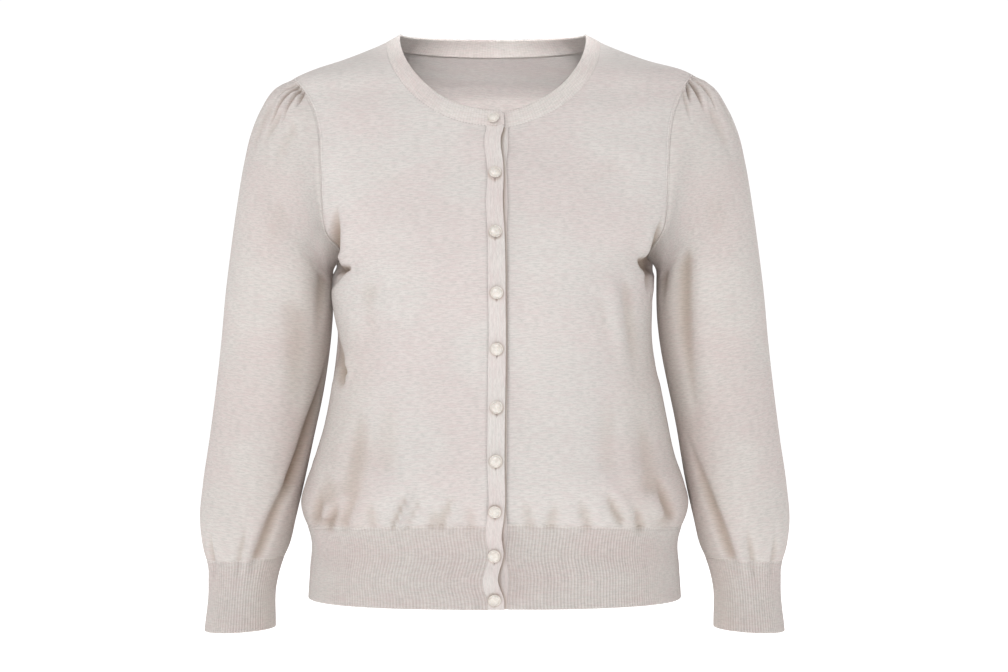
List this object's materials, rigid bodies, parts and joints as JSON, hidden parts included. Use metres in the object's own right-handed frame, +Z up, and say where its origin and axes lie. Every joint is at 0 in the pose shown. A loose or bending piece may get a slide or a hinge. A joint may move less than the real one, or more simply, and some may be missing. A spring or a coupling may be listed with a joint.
{
  "type": "button cardigan",
  "caption": "Long-sleeved round-neck cardigan in a fine knit, buttoned down the front, with deep rib hem and cuffs, filled out as when worn.",
  "frame": {"origin": "on the garment's centre plane, level with the middle of the shoulder seams and between its front and back, where the wearer's shoulders hold it up", "axes": "+Z up, -Y out of the wearer's front, +X towards the wearer's left"},
  "size_m": [0.6322, 0.2926, 0.6422],
  "materials": {
    "jersey": "heather oatmeal fine-gauge jersey, matt with a faint bloom of loose fibre",
    "rib": "heather oatmeal 1x1 rib, matt, a little darker in its furrows",
    "pearl_button": "pearly cream, satin gloss"
  },
  "bodies": {
    "root": {"back": "jersey", "front_left": "jersey", "front_right": "jersey", "sleeve_left": "jersey", "sleeve_right": "jersey", "neckband": "rib", "buttonhole_band": "rib", "button_band": "rib", "hem_rib_back": "rib", "hem_rib_front_left": "rib", "hem_rib_front_right": "rib", "cuff_left": "rib", "cuff_right": "rib", "button_01": "pearl_button", "button_02": "pearl_button", "button_03": "pearl_button", "button_04": "pearl_button", "button_05": "pearl_button", "button_06": "pearl_button", "button_07": "pearl_button", "button_08": "pearl_button", "button_09": "pearl_button", "button_10": "pearl_button"}
  },
  "joints": []
}
